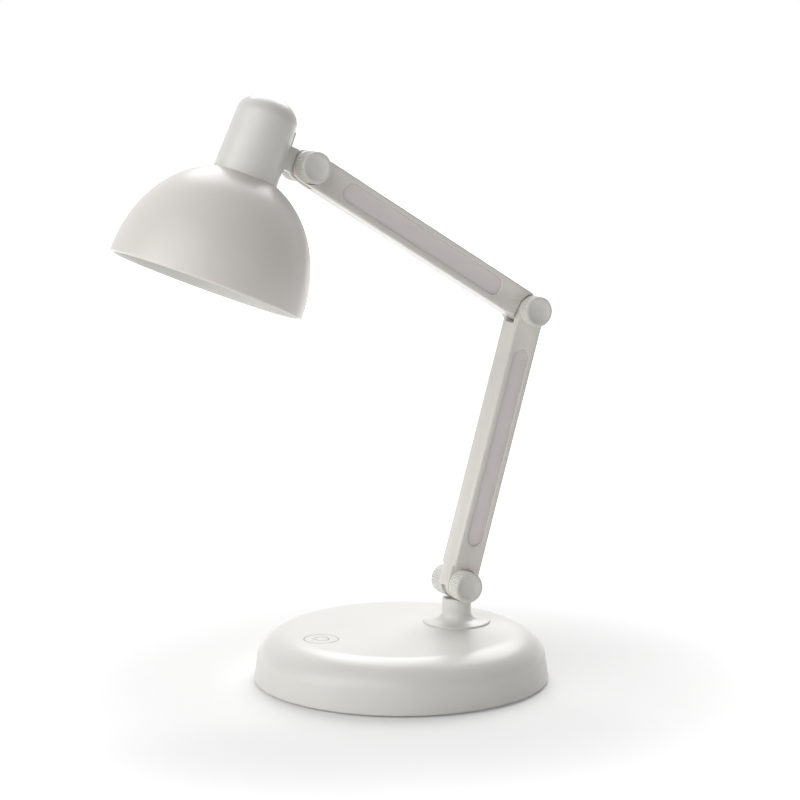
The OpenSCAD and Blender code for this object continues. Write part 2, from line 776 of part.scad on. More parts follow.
module shade() color(WHITE) at_head() {
    inner_top_z = shade_h - shade_top_t;
    difference() {
        rotate_extrude($fn = 144)
            polygon(concat([[0, 0]], shade_outline(shade_r, shade_dome_h, shade_h), [[0, shade_h]]));
        rotate_extrude($fn = 144) polygon(concat(
            [[0, -1], [shade_r - shade_wall, -1]],
            shade_outline(shade_r - shade_wall, shade_dome_h - shade_wall, inner_top_z),
            [[0, inner_top_z]]));
        translate([0, 0, inner_top_z - 1]) cylinder(r = hub_r + 0.2, h = 5, $fn = 48);
        carrier_screw_places() translate([0, 0, inner_top_z - 1])
            cylinder(r = carrier_screw_r + 0.25, h = 5, $fn = 24);
    }
}

// Outer solid of the neck, made bigger all round by grow
module cap_solid(grow) {
    dome_steps = 14;
    rotate_extrude($fn = 96) polygon(concat(
        [[0, cap_z - (grow > 0 ? 2 : 0)], [cap_r + grow, cap_z - (grow > 0 ? 2 : 0)],
         [cap_top_r + grow, cap_dome_z]],
        [for (i = [1 : dome_steps])
            let (a = 90 * i / dome_steps)
            [(cap_top_r + grow) * pow(max(0, cos(a)), cap_full),
             cap_dome_z + (cap_dome_h + grow) * sin(a)]]));
}

module carrier_screw_places() {
    for (i = [0 : 2]) rotate(60 + 120 * i) translate([carrier_screw_ring, 0, 0]) children();
}

module bracket_screw_places() {
    for (side = [-1, 1])
        translate([0, 0, head_hinge_h + side * bracket_screw_step]) rotate([0, 90, 0]) children();
}

module neck_cap() color(WHITE) at_head() {
    difference() {
        cap_solid(0);
        difference() {
            cap_solid(-cap_wall);
            carrier_screw_places() translate([0, 0, cap_z])
                cylinder(r = cap_boss_r, h = cap_boss_h, $fn = 32);
        }
        carrier_screw_places() translate([0, 0, cap_z - 1])
            cylinder(r = carrier_screw_r + thread_gap, h = 8, $fn = 24);
        bracket_screw_places() translate([0, 0, 5])
            cylinder(r = bracket_screw_r + 0.2, h = cap_d, $fn = 24);
        // way for the wire into the bracket
        translate([5, 0, head_hinge_h]) rotate([0, 90, 0])
            cylinder(r = wire_hole_r, h = cap_d, $fn = 32);
    }
}

module head_bracket() color(WHITE) at_head() {
    ears_w = narrow_slot + 2 * ear_t;
    difference() {
        union() {
            // saddle plate that follows the neck, the block on it, and the tongue
            intersection() {
                cap_solid(saddle_fit + saddle_t);
                translate([0, -ears_w / 2, saddle_low]) cube([cap_d, ears_w, saddle_h]);
            }
            translate([cap_r - 4, -ears_w / 2, head_hinge_h - bracket_w / 2])
                cube([bracket_back - cap_r + 4, ears_w, bracket_w]);
            translate([head_hinge_r, 0, head_hinge_h]) y_extrude(tongue_t(narrow_slot)) {
                circle(bracket_w / 2);
                translate([-head_hinge_r + cap_r, -bracket_w / 2])
                    square([head_hinge_r - cap_r, bracket_w]);
            }
        }
        cap_solid(saddle_fit);
        translate([head_hinge_r, 0, head_hinge_h]) y_cylinder(screw_r + screw_gap, -arm_t, arm_t);
        translate([0, 0, head_hinge_h]) rotate([0, 90, 0])
            cylinder(r = wire_hole_r, h = head_hinge_r, $fn = 32);
        bracket_screw_places() translate([0, 0, cap_r - 4])
            cylinder(r = bracket_screw_r + thread_gap, h = bracket_back - cap_r + 3.4, $fn = 24);
    }
}

module bracket_screws() color(STEEL) at_head() {
    seat_r = cap_top_r - cap_wall - 0.05;
    bracket_screw_places() translate([0, 0, seat_r])
        screw(bracket_screw_r, bracket_back - seat_r - 0.8, [2.3, 1.2]);
}

module lamp_carrier() color("#c9cbcc") at_head() {
    difference() {
        union() {
            translate([0, 0, carrier_z]) cylinder(r = carrier_r, h = carrier_t, $fn = 96);
            translate([0, 0, carrier_z]) cylinder(r = carrier_screw_ring + 3, h = shade_h - shade_top_t - carrier_z);
            translate([0, 0, carrier_z]) cylinder(r = hub_r, h = shade_h - carrier_z - 0.2, $fn = 48);
        }
        translate([0, 0, carrier_z - 1]) cylinder(r = 2, h = shade_h, $fn = 32);
        carrier_screw_places() translate([0, 0, carrier_z - 1])
            cylinder(r = carrier_screw_r + 0.25, h = shade_h, $fn = 24);
        carrier_screw_places() translate([0, 0, carrier_z - 1])
            cylinder(r = 2.6, h = 1 + 1.4, $fn = 32);
    }
}

module carrier_screws() color(STEEL) at_head() {
    carrier_screw_places() translate([0, 0, carrier_z + 1.4])
        screw(carrier_screw_r, shade_h - carrier_z + 3.6, [2.3, 1.2]);
}

module led_board() color("#e9ebe6") at_head() {
    difference() {
        translate([0, 0, led_board_z]) cylinder(d = led_board_d, h = led_board_t, $fn = 96);
        translate([0, 0, led_board_z - 1]) cylinder(r = 2, h = led_board_t + 2, $fn = 32);
    }
}

module led_chips() color("#f3d46b") at_head() {
    for (i = [0 : led_count - 1])
        rotate(360 * i / led_count)
            translate([chip_ring_r, 0, led_board_z - chip_size.z / 2]) cube(chip_size, center = true);
}

module diffuser() color("#f4f4ee") at_head() {
    difference() {
        translate([0, 0, diffuser_z])
            cylinder(r = diffuser_r, h = carrier_z + carrier_t / 2 - diffuser_z, $fn = 96);
        translate([0, 0, diffuser_z + diffuser_t])
            cylinder(r = diffuser_r - diffuser_wall, h = shade_h, $fn = 96);
    }
}

module head_lead() color(CABLE) at_head() {
    lead([[0, carrier_z + 1], [0, head_hinge_h - lead_bend], [lead_bend, head_hinge_h],
          [head_hinge_r - groove_top - 0.4, head_hinge_h]]);
}

base_shell();
base_plate();
foot_pad();
base_screws();
ballast();
battery();
touch_board();
touch_spring();
charge_board();
usb_socket();
board_screws();
base_lead();
stem();
stem_washer();
stem_nut();
base_hinge_screw();
base_knob_front();
base_knob_back();
base_hinge_washers();
lower_arm();
lower_arm_cover();
lower_arm_lead();
elbow_screw();
elbow_knob_front();
elbow_knob_back();
elbow_washers();
upper_arm();
upper_arm_cover();
upper_arm_lead();
head_hinge_screw();
head_knob_front();
head_knob_back();
head_hinge_washers();
head_bracket();
bracket_screws();
neck_cap();
shade();
lamp_carrier();
carrier_screws();
led_board();
led_chips();
diffuser();
head_lead();
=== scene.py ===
"""Folding LED desk lamp: builds its shells, arms, knobs, finishes and stage."""

import json
import math

import bmesh
import bpy
from mathutils import Matrix, Vector


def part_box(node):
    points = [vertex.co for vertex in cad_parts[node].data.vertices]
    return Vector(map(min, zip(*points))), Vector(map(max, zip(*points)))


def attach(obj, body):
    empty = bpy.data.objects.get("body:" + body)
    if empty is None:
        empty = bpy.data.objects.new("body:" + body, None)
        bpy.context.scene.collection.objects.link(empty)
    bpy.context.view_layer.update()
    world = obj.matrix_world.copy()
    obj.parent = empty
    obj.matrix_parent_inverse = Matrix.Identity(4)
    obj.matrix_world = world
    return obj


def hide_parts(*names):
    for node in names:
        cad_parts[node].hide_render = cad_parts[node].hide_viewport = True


bl_info = {
    "name": "Folding LED Desk Lamp",
    "version": (1, 0, 0),
    "blender": (4, 5, 0),
    "location": "View3D > Sidebar > Desk Lamp",
    "description": "Shells, arms, thumb knobs, finishes and stage of a folding LED desk lamp",
    "category": "Add Mesh",
}

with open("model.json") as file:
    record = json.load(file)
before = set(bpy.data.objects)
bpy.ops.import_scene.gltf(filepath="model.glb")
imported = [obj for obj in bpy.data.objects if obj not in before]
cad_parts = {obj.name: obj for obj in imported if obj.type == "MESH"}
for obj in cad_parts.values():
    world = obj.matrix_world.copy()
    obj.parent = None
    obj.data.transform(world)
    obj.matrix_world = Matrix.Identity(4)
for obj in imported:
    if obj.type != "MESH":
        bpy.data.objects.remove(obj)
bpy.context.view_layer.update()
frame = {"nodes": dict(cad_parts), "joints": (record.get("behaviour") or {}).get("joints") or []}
NODES = frame["nodes"]
HINGES = {j["name"]: Vector(j["pos_m"]) for j in frame["joints"]}
BASE_HINGE, ELBOW, HEAD_HINGE = (
    HINGES["base_hinge"], HINGES["elbow_hinge"], HINGES["head_hinge"])
MM = 0.001


# ---------- sizes and colours that a user may change ----------

def length(name, description, default):
    """A size in metres."""
    return bpy.props.FloatProperty(
        name=name, description=description, default=default, unit="LENGTH", precision=5)


def colour(name, description, code):
    """A colour picked from its sRGB code."""
    return bpy.props.FloatVectorProperty(
        name=name, description=description, default=linear(code), subtype="COLOR",
        size=3, min=0.0, max=1.0)


def linear(code):
    """The linear colour of an sRGB code such as '#e4e3dd'."""
    parts = [int(code[i:i + 2], 16) / 255 for i in (1, 3, 5)]
    return tuple(c / 12.92 if c <= 0.04045 else ((c + 0.055) / 1.055) ** 2.4 for c in parts)


class LampBaseSizes(bpy.types.PropertyGroup):
    """Sizes of the base and its touch key."""

    radius: length("Radius", "Outer radius at the foot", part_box("base_shell")[1].x)
    height: length("Height", "Height of the flat top", 22.0 * MM)
    foot: length("Foot gap", "Height of the shell's lower edge", 0.8 * MM)
    side_height: length("Side height", "Where the side starts to round over", 9.6 * MM)
    shoulder: length("Shoulder", "Width of the rounded shoulder", 16.0 * MM)
    draft: length("Draft", "How far the side leans in", 1.4 * MM)
    wall: length("Wall", "Wall thickness", 2.4 * MM)
    key_x: length("Key place", "Distance of the touch key from the centre", 39.2 * MM)
    key_radius: length("Key radius", "Outer radius of the touch ring", 7.8 * MM)


class LampArmSizes(bpy.types.PropertyGroup):
    """Sizes of the arms' pockets and of the covers that fill them."""

    thickness: length("Arm thickness", "Thickness of the arms", 12.2 * MM)
    pocket_width: length("Pocket width", "Width of the pockets", 8.6 * MM)
    pocket_depth: length("Pocket depth", "Depth of the pockets", 1.3 * MM)
    pocket_end: length("Pocket end", "From a hinge to the pocket", 17.8 * MM)
    elbow_pocket_end: length("Elbow pocket end", "From the elbow to the upper arm's pocket", 19.1 * MM)
    boss_inset: length("Boss inset", "How far the boss is inside the pocket", 0.7 * MM)
    boss: length("Boss", "Depth of the boss in the arm's seat", 1.15 * MM)
    gap: length("Gap", "Gap between the skin and the pocket's wall", 0.08 * MM)
    skin: length("Skin", "Thickness of the skin on the pocket's floor", 0.14 * MM)
    edge: length("Edge", "Rounding of the skin's edge", 0.1 * MM)


class LampKnobSizes(bpy.types.PropertyGroup):
    """Sizes of the thumb knobs."""

    radius: length("Radius", "Outer radius over the ribs", 6.75 * MM)
    rib_depth: length("Rib depth", "Depth of the grooves between the ribs", 0.38 * MM)
    ribs: bpy.props.IntProperty(
        name="Ribs", description="Ribs round a knob", default=38, min=12, max=60)
    rim: length("Rim", "Width of the rim round the bowl", 1.4 * MM)
    dish: length("Bowl", "Depth of the bowl", 1.4 * MM)
    bowl_curve: bpy.props.FloatProperty(
        name="Bowl curve", description="2 is a round bowl, more has a flatter floor", default=3.2)
    bevel: length("Edge", "Rounding of the edge round the face", 0.8 * MM)
    bore_radius: length("Bore radius", "Radius of the screw's bore in a back knob", 2.06 * MM)
    bore_floor: length("Bore floor", "From the bore's end to the knob's face", 2.3 * MM)


class LampHeadSizes(bpy.types.PropertyGroup):
    """Sizes of the shade and its neck, in the shade's own frame."""

    tilt: bpy.props.FloatProperty(
        name="Tilt", description="Lean of the shade's axis from upright",
        default=math.radians(22.4), subtype="ANGLE")
    hinge_height: length("Hinge height", "Hinge above the rim, along the axis", 61.9 * MM)
    hinge_out: length("Hinge reach", "Hinge from the axis", 24.2 * MM)
    rim_radius: length("Rim radius", "Radius of the shade's rim", 42.2 * MM)
    dome: length("Dome", "Height of the full dome", 51.1 * MM)
    top: length("Top", "Height where the neck starts", 48.0 * MM)
    full: bpy.props.FloatProperty(
        name="Fullness", description="2 is an ellipse, more is squarer", default=2.1)
    wall: length("Wall", "Wall thickness of the shade", 1.6 * MM)
    neck_low: length("Neck radius", "Radius of the neck at the shade", 14.0 * MM)
    neck_high: length("Neck top radius", "Radius of the neck under its dome", 13.1 * MM)
    neck_height: length("Neck height", "Height of the neck's straight part", 25.8 * MM)
    neck_dome: length("Neck dome", "Height of the neck's dome", 9.6 * MM)
    neck_full: bpy.props.FloatProperty(
        name="Neck fullness", description="1 is an ellipse, less is squarer", default=0.93)


class LampFinish(bpy.types.PropertyGroup):
    """Colours of the lamp's finishes."""

    paint: colour("Paint", "Satin white of the base, stem, neck and bracket", "#e7e6e1")
    # the arms' and shade's white carries painted warm bounce light: the pinkish cast of their shaded
    # faces is laid into the colour
    paint_with_warm_bounce: colour("White with painted warm bounce", "Satin white of the arms and the shade", "#eae6e0")
    plastic: colour("Plastic", "White of the moulded knobs", "#e6e5e0")
    # the covers' pinkish tint is painted warm bounce light, matched to the shaded front faces they sit
    # in; under it is their own white ABS
    cover: colour("Covers", "White of the arms' covers and the base plate", "#ede6e5")
    inside: colour("Inside", "White of the shade's inside", "#efeeea")
    print_grey: colour("Key print", "Grey of the touch key's lines", "#a3a4a2")
    rubber: colour("Rubber", "Grey of the foot pad", "#4b4c4f")


class LampStage(bpy.types.PropertyGroup):
    """Floor, lights and camera."""

    floor: colour("Floor", "Colour of the floor", "#f2f2f2")
    world: bpy.props.FloatProperty(name="Sky", description="Even light from all round", default=0.15)
    key: bpy.props.FloatProperty(
        name="Key", description="Watts of the soft key lamp on the left", default=7.3)
    low: bpy.props.FloatProperty(
        name="Low", description="Watts of the lamp low on the left", default=9.4)
    front: bpy.props.FloatProperty(
        name="Front", description="Watts of the lamp at the front left", default=7.8)
    back: bpy.props.FloatProperty(
        name="Back", description="Watts of the large lamp behind on the right", default=56.0)
    lens: bpy.props.FloatProperty(
        name="Lens", description="Focal length on a 36 mm sensor", default=111.39,
        subtype="DISTANCE_CAMERA")


# ---------- meshes ----------

def drop(obj):
    """Deletes an object, and its mesh if nothing else uses it."""
    mesh = obj.data
    bpy.data.objects.remove(obj)
    if mesh and not mesh.users:
        bpy.data.meshes.remove(mesh)


def new_object(name, mesh):
    """A mesh as an object of the scene, at the origin."""
    obj = bpy.data.objects.new(name, mesh)
    bpy.context.scene.collection.objects.link(obj)
    return obj


def smooth(mesh, degrees=32):
    """Smooth shading with crisp edges where faces meet at more than the angle."""
    mesh.polygons.foreach_set("use_smooth", [True] * len(mesh.polygons))
    mesh.set_sharp_from_angle(angle=math.radians(degrees))
    mesh.update()


def baked(obj):
    """obj's mesh with its modifiers applied; obj itself is removed."""
    bpy.context.view_layer.update()
    graph = bpy.context.evaluated_depsgraph_get()
    mesh = bpy.data.meshes.new_from_object(obj.evaluated_get(graph))
    name = obj.name
    for modifier in list(obj.modifiers):
        obj.modifiers.remove(modifier)
    drop(obj)
    mesh.name = name
    return mesh


def finished(name, mesh, body, materials, replaces=()):
    """A finished piece that rides on a body and stands for its CAD nodes."""
    obj = new_object(name, mesh)
    mesh.materials.clear()
    for material in materials:
        mesh.materials.append(material)
    if replaces:
        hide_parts(*replaces)
    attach(obj, body)
    return obj


def rounded_path(corners, steps=5):
    """A profile through (r, z, fillet radius) corners, with each fillet as an arc."""
    path = []
    for i, (r, z, fillet) in enumerate(corners):
        here = Vector((r, z))
        if not fillet or i in (0, len(corners) - 1):
            path.append((r, z))
            continue
        back = (Vector(corners[i - 1][:2]) - here).normalized()
        on = (Vector(corners[i + 1][:2]) - here).normalized()
        half = math.acos(max(-1.0, min(1.0, back.dot(on)))) / 2
        if half > math.radians(89):
            path.append((r, z))
            continue
        reach = fillet / math.tan(half)
        centre = here + (back + on).normalized() * (fillet / math.sin(half))
        start, end = here + back * reach - centre, here + on * reach - centre
        sweep = start.angle_signed(end)
        for k in range(steps + 1):
            turned = start.copy()
            turned.rotate(Matrix.Rotation(-sweep * k / steps, 2))
            path.append(tuple(centre + turned))
    return path


def lathe(name, profile, steps=192, closed=False):
    """Spins an (r, z) profile round Z. An open profile starts and ends on the axis."""
    mesh = bpy.data.meshes.new(name)
    verts, rings = [], []
    for r, z in profile:
        if r < 1e-9:
            rings.append([len(verts)])
            verts.append((0.0, 0.0, z))
        else:
            rings.append(list(range(len(verts), len(verts) + steps)))
            verts += [(r * math.cos(2 * math.pi * k / steps),
                       r * math.sin(2 * math.pi * k / steps), z) for k in range(steps)]
    pairs = list(zip(rings, rings[1:])) + ([(rings[-1], rings[0])] if closed else [])
    faces = []
    for low, high in pairs:
        for k in range(steps):
            n = (k + 1) % steps
            if len(low) == 1:
                faces.append((low[0], high[n], high[k]))
            elif len(high) == 1:
                faces.append((low[k], low[n], high[0]))
            else:
                faces.append((low[k], low[n], high[n], high[k]))
    mesh.from_pydata(verts, [], faces)
    outward(mesh)
    return mesh


def outward(mesh):
    """Welds a closed mesh and turns its faces outwards."""
    bm = bmesh.new()
    bm.from_mesh(mesh)
    bmesh.ops.remove_doubles(bm, verts=bm.verts, dist=1e-7)
    bmesh.ops.recalc_face_normals(bm, faces=bm.faces)
    if bm.calc_volume(signed=True) < 0:
        bmesh.ops.reverse_faces(bm, faces=bm.faces)
    bm.to_mesh(mesh)
    bm.free()
    mesh.update()


def prism(name, outline, low, high):
    """A closed prism over an (x, y) outline."""
    mesh = bpy.data.meshes.new(name)
    n = len(outline)
    verts = [(x, y, low) for x, y in outline] + [(x, y, high) for x, y in outline]
    faces = [tuple(range(n)), tuple(range(n, 2 * n))]
    faces += [(i, (i + 1) % n, n + (i + 1) % n, n + i) for i in range(n)]
    mesh.from_pydata(verts, [], faces)
    outward(mesh)
    return mesh


def cut(mesh, cutters):
    """Takes each cutter mesh out of a mesh."""
    body = new_object("cutting", mesh)
    tools = []
    for cutter in cutters:
        tool = new_object("cutter", cutter)
        modifier = body.modifiers.new("cut", "BOOLEAN")
        modifier.operation, modifier.solver, modifier.object = "DIFFERENCE", "EXACT", tool
        tools.append(tool)
    result = baked(body)
    for tool in tools:
        drop(tool)
    outward(result)
    return result


def from_cad(name, node, bevel, angle=35.0, segments=2):
    """A welded copy of a CAD node's mesh with its crisp edges slightly rounded."""
    mesh = NODES[node].data.copy()
    bm = bmesh.new()
    bm.from_mesh(mesh)
    bmesh.ops.remove_doubles(bm, verts=bm.verts, dist=2e-6)
    bmesh.ops.dissolve_limit(
        bm, angle_limit=math.radians(0.6), verts=bm.verts, edges=bm.edges)
    bm.to_mesh(mesh)
    bm.free()
    if "custom_normal" in mesh.attributes:
        mesh.attributes.remove(mesh.attributes["custom_normal"])
    obj = new_object(name, mesh)
    modifier = obj.modifiers.new("edges", "BEVEL")
    modifier.width, modifier.segments = bevel, segments
    modifier.limit_method, modifier.angle_limit = "ANGLE", math.radians(angle)
    modifier.use_clamp_overlap, modifier.miter_outer = True, "MITER_ARC"
    result = baked(obj)
    smooth(result, 40)
    return result


# ---------- finishes ----------

def add(tree, kind, inputs=None, **settings):
    """Adds a node, sets its options, and fills or links its inputs."""
    made = tree.nodes.new(kind)
    for key, value in settings.items():
        setattr(made, key, value)
    for key, value in (inputs or {}).items():
        if isinstance(value, bpy.types.NodeSocket):
            tree.links.new(value, made.inputs[key])
        else:
            made.inputs[key].default_value = value
    return made


def surface(name, base, roughness, **sockets):
    """A material with a Principled surface, and its tree, shader and place."""
    material = bpy.data.materials.new(name)
    material.use_nodes = True
    tree = material.node_tree
    tree.nodes.clear()
    shader = add(tree, "ShaderNodeBsdfPrincipled",
                 {"Base Color": (*base, 1.0), "Roughness": roughness, **sockets})
    output = add(tree, "ShaderNodeOutputMaterial")
    tree.links.new(shader.outputs[0], output.inputs["Surface"])
    place = add(tree, "ShaderNodeTexCoord").outputs["Object"]
    material.diffuse_color = (*base, 1.0)
    return material, tree, shader, place


def noise(tree, place, size, detail=3.0, rough=0.5):
    """Noise whose blobs are about size metres across."""
    return add(tree, "ShaderNodeTexNoise",
               {"Vector": place, "Scale": 1.0 / size, "Detail": detail, "Roughness": rough}
               ).outputs["Fac"]


def spread(tree, value, low, high):
    """Maps a 0.3 to 0.7 noise value to low to high."""
    return add(tree, "ShaderNodeMapRange",
               {"Value": value, "From Min": 0.3, "From Max": 0.7, "To Min": low, "To Max": high}
               ).outputs["Result"]


def tinted(tree, factor, base, other):
    """A mix of two colours by a 0 to 1 factor."""
    mix = add(tree, "ShaderNodeMix", data_type="RGBA")
    mix.inputs[6].default_value, mix.inputs[7].default_value = (*base, 1.0), (*other, 1.0)
    tree.links.new(factor, mix.inputs[0])
    return mix.outputs[2]


def shade_of(base, share):
    """A colour made darker or lighter by a factor."""
    return tuple(c * share for c in base)


def satin_powder_coat(name, base):
    """Fine orange peel of a baked satin coat, with a faint cloudiness in tone and gloss."""
    material, tree, shader, place = surface(
        name, base, 0.30, **{"IOR": 1.5, "Specular IOR Level": 0.5})
    cloud = spread(tree, noise(tree, place, 28 * MM, 2.0), 0.0, 1.0)
    speck = spread(tree, noise(tree, place, 0.35 * MM, 2.0), 0.0, 1.0)
    tone = add(tree, "ShaderNodeMath", {0: cloud, 1: 0.75}, operation="MULTIPLY").outputs[0]
    tone = add(tree, "ShaderNodeMath", {0: speck, 1: 0.25, 2: tone},
               operation="MULTIPLY_ADD").outputs[0]
    tree.links.new(tinted(tree, tone, shade_of(base, 0.975), shade_of(base, 1.02)),
                   shader.inputs["Base Color"])
    tree.links.new(spread(tree, noise(tree, place, 6 * MM, 3.0), 0.285, 0.33),
                   shader.inputs["Roughness"])
    peel = noise(tree, place, 0.9 * MM, 2.0)
    bump = add(tree, "ShaderNodeBump", {"Height": peel, "Strength": 0.08, "Distance": 0.03 * MM})
    tree.links.new(bump.outputs[0], shader.inputs["Normal"])
    return material


def moulded_plastic(name, base, rough=0.5):
    """Spark-eroded mould texture of ABS: even tiny pits and a soft, dull sheen."""
    material, tree, shader, place = surface(
        name, base, rough, **{"IOR": 1.53, "Specular IOR Level": 0.5})
    pits = add(tree, "ShaderNodeTexVoronoi", {"Vector": place, "Scale": 1.0 / (0.32 * MM)}
               ).outputs["Distance"]
    flow = spread(tree, noise(tree, place, 9 * MM, 2.0), 0.0, 1.0)
    tree.links.new(tinted(tree, flow, shade_of(base, 0.98), shade_of(base, 1.015)),
                   shader.inputs["Base Color"])
    tree.links.new(spread(tree, noise(tree, place, 2.5 * MM), rough - 0.05, rough + 0.06),
                   shader.inputs["Roughness"])
    bump = add(tree, "ShaderNodeBump", {"Height": pits, "Strength": 0.15, "Distance": 0.02 * MM})
    tree.links.new(bump.outputs[0], shader.inputs["Normal"])
    return material


def plated_metal(name, base, rough, grain=0.5 * MM):
    """Drawn or plated metal: fine grain in the gloss and a slight mottle in the tone."""
    material, tree, shader, place = surface(name, base, rough, **{"Metallic": 1.0})
    mottle = spread(tree, noise(tree, place, 2.2 * MM, 4.0), 0.0, 1.0)
    tree.links.new(tinted(tree, mottle, shade_of(base, 0.88), base), shader.inputs["Base Color"])
    tree.links.new(spread(tree, noise(tree, place, grain, 5.0), rough - 0.08, rough + 0.10),
                   shader.inputs["Roughness"])
    return material


def silicone_rubber(name, base):
    """Dull moulded rubber with dust in its fine grain."""
    material, tree, shader, place = surface(name, base, 0.78, **{"IOR": 1.43})
    dust = spread(tree, noise(tree, place, 0.8 * MM, 6.0, 0.7), 0.0, 1.0)
    tree.links.new(tinted(tree, dust, base, shade_of(base, 1.7)), shader.inputs["Base Color"])
    bump = add(tree, "ShaderNodeBump",
               {"Height": noise(tree, place, 0.3 * MM), "Strength": 0.3, "Distance": 0.04 * MM})
    tree.links.new(bump.outputs[0], shader.inputs["Normal"])
    return material


def opal_acrylic(name, base):
    """Milky diffuser sheet: light goes a little way in and comes back soft."""
    material, tree, shader, place = surface(
        name, base, 0.35, **{"IOR": 1.49, "Subsurface Weight": 0.4})
    shader.inputs["Subsurface Radius"].default_value = (1.0, 1.0, 0.95)
    shader.inputs["Subsurface Scale"].default_value = 2.0 * MM
    haze = spread(tree, noise(tree, place, 5 * MM, 2.0), 0.30, 0.42)
    tree.links.new(haze, shader.inputs["Roughness"])
    return material


def coated_board(name, base):
    """Solder mask over copper: glossy, with the tracks showing as lighter bands."""
    material, tree, shader, place = surface(name, base, 0.28, **{"IOR": 1.52})
    tracks = add(tree, "ShaderNodeTexBrick",
                 {"Vector": place, "Scale": 1.0 / (9 * MM), "Mortar Size": 0.03,
                  "Color1": (*base, 1.0), "Color2": (*shade_of(base, 0.9), 1.0),
                  "Mortar": (*shade_of(base, 1.8), 1.0)}).outputs["Color"]
    tree.links.new(tracks, shader.inputs["Base Color"])
    return material


def smooth_skin(name, base, rough):
    """Glossy film or sheath: tight, with faint waves in its gloss."""
    material, tree, shader, place = surface(name, base, rough, **{"IOR": 1.5})
    tree.links.new(spread(tree, noise(tree, place, 3 * MM, 2.0), rough - 0.06, rough + 0.10),
                   shader.inputs["Roughness"])
    tone = spread(tree, noise(tree, place, 12 * MM, 2.0), 0.0, 1.0)
    tree.links.new(tinted(tree, tone, shade_of(base, 0.93), base), shader.inputs["Base Color"])
    return material


def printed_ink(name, base):
    """Pad-printed ink: a thin dull film with uneven cover."""
    material, tree, shader, place = surface(name, base, 0.6)
    cover = spread(tree, noise(tree, place, 0.5 * MM, 4.0), 0.0, 1.0)
    tree.links.new(tinted(tree, cover, base, shade_of(base, 1.12)), shader.inputs["Base Color"])
    return material


FINISHES = {}


def make_finishes(colours):
    """Makes every finish of the lamp, each under a short name."""
    FINISHES.update({
        "paint": satin_powder_coat("satin_white_coat", tuple(colours.paint)),
        # a slightly warmer white than the base's: the extra warmth is painted warm bounce light, the
        # pinkish cast the arms and the shade show on their shaded faces
        "paint_with_warm_bounce": satin_powder_coat("satin_white_coat_painted_warm_bounce", tuple(colours.paint_with_warm_bounce)),
        "inside": satin_powder_coat("shade_inner_coat", tuple(colours.inside)),
        "knob": moulded_plastic("knob_abs_white", tuple(colours.plastic)),
        # white ABS of the covers, with a pinkish tint that is painted warm bounce light
        "cover": moulded_plastic("cover_abs_white_painted_warm_bounce", tuple(colours.cover), 0.55),
        "ink": printed_ink("key_print_grey", tuple(colours.print_grey)),
        "rubber": silicone_rubber("foot_silicone_grey", tuple(colours.rubber)),
        "zinc": plated_metal("zinc_plated_steel", linear("#b9bcbe"), 0.34),
        "ballast": plated_metal("raw_ballast_steel", linear("#7c7f82"), 0.52, 1.5 * MM),
        "brass": plated_metal("spring_brass", linear("#c9a765"), 0.30),
        "aluminium": plated_metal("pressed_aluminium", linear("#c8cacb"), 0.38),
        "nylon": moulded_plastic("natural_nylon", linear("#eceade"), 0.45),
        "pvc": smooth_skin("cable_pvc_white", linear("#dddcd6"), 0.38),
        "wrap": smooth_skin("battery_shrink_wrap", linear("#3f6ea3"), 0.25),
        "board": coated_board("board_solder_mask", linear("#2a6b45")),
        "phosphor": smooth_skin("led_phosphor", linear("#efcf63"), 0.4),
        "opal": opal_acrylic("diffuser_opal", linear("#f4f3ee")),
    })


# Finish of each CAD node that is shown as it is
NODE_FINISHES = {
    "base_plate": "cover", "foot_pad": "rubber", "base_screws": "zinc", "ballast": "ballast",
    "battery": "wrap", "touch_board": "board", "touch_spring": "brass",
    "charge_board": "board", "usb_socket": "zinc", "board_screws": "zinc",
    "base_lead": "pvc", "stem_washer": "zinc", "stem_nut": "zinc",
    "base_hinge_screw": "zinc", "base_hinge_washers": "nylon",
    "lower_arm_lead": "pvc", "elbow_screw": "zinc", "elbow_washers": "nylon",
    "upper_arm_lead": "pvc", "head_hinge_screw": "zinc", "head_hinge_washers": "nylon",
    "bracket_screws": "zinc", "lamp_carrier": "aluminium", "carrier_screws": "zinc",
    "led_board": "aluminium", "led_chips": "phosphor", "diffuser": "opal", "head_lead": "pvc",
}


# ---------- places ----------

def lean(low, high):
    """The turn about Y that takes Z along the line from one hinge to the next."""
    return math.atan2(high.x - low.x, high.z - low.z)


def head_place(sizes):
    """From the shade's own frame, with the rim's middle at the origin, to the lamp's."""
    return (Matrix.Translation(HEAD_HINGE) @ Matrix.Rotation(sizes.tilt, 4, "Y")
            @ Matrix.Translation((-sizes.hinge_out, 0.0, -sizes.hinge_height)))


# ---------- base ----------

def base_profile(s):
    """Closed section of the shell, from the top's middle round to its inside."""
    flat = s.radius - s.draft - s.shoulder
    steps, inner_steps = 40, 12
    outer = [(0.0, s.height)]
    for i in range(steps + 1):
        a = math.pi / 2 * i / steps
        outer.append((flat + s.shoulder * math.sin(a),
                      s.side_height + (s.height - s.side_height) * math.cos(a)))
    # fillets of the lower edge, and how far its outer corner is raised
    edge, inner_edge, lift = 0.5 * MM, 0.15 * MM, 0.15 * MM
    inner_top = s.height - s.wall
    outer += rounded_path([
        (s.radius - s.draft, s.side_height, 0.0),
        (s.radius, s.foot + lift, edge),
        (s.radius - s.draft - s.wall, s.foot, inner_edge),
        (s.radius - s.draft - s.wall, s.side_height, 0.0)], 6)[1:]
    for i in range(1, inner_steps + 1):
        a = math.pi / 2 * i / inner_steps
        outer.append((flat + (s.shoulder - s.wall) * math.cos(a),
                      s.side_height + (inner_top - s.side_height) * math.sin(a)))
    return outer + [(0.0, inner_top)]


